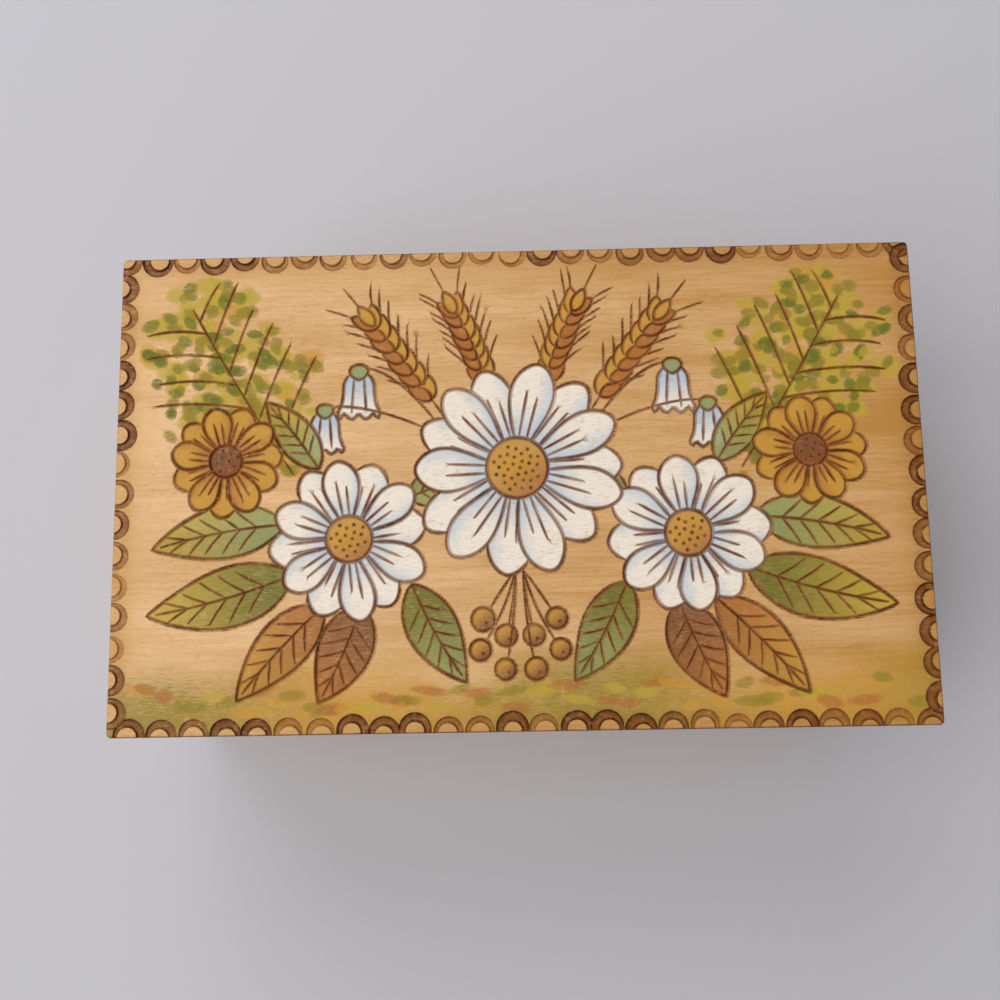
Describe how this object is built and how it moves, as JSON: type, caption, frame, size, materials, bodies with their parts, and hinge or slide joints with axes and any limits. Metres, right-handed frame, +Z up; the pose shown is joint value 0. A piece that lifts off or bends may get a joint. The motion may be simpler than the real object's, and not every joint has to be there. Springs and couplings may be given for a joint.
{
  "type": "wooden trinket box",
  "caption": "Small rectangular wooden trinket box with a hinged lid, finger-jointed walls, a brass-hinged back and a lid board bordered by pressed half-ring marks.",
  "frame": {"origin": "middle of the underside, on the surface that the box stands on", "axes": "+X to the right along the width, +Y to the back where the hinges are, +Z up"},
  "size_m": [0.13, 0.078, 0.05],
  "materials": {
    "carved_wood": "carved, burnt and painted, with a clear semi-gloss varnish",
    "wall_wood": "clear semi-gloss varnish",
    "plywood": "sanded, bare",
    "brass": "polished, slightly tarnished",
    "steel": "bright drawn wire"
  },
  "bodies": {
    "body": {"base_panel": "plywood", "base_brads": "steel", "front_wall": "wall_wood", "back_wall": "wall_wood", "left_wall": "wall_wood", "right_wall": "wall_wood", "left_hinge_body_leaf": "brass", "right_hinge_body_leaf": "brass", "left_hinge_pin": "brass", "right_hinge_pin": "brass", "body_hinge_screws": "brass"},
    "lid": {"lid_panel": "carved_wood", "lid_front_rail": "wall_wood", "lid_back_rail": "wall_wood", "lid_left_rail": "wall_wood", "lid_right_rail": "wall_wood", "left_hinge_lid_leaf": "brass", "right_hinge_lid_leaf": "brass", "lid_hinge_screws": "brass"}
  },
  "joints": [
    {"name": "lid_hinge", "type": "hinge", "parent": "body", "child": "lid", "pos_m": [0, 0.0374, 0.032], "axis": [-1, 0, 0], "range_deg": [0, 100]}
  ]
}
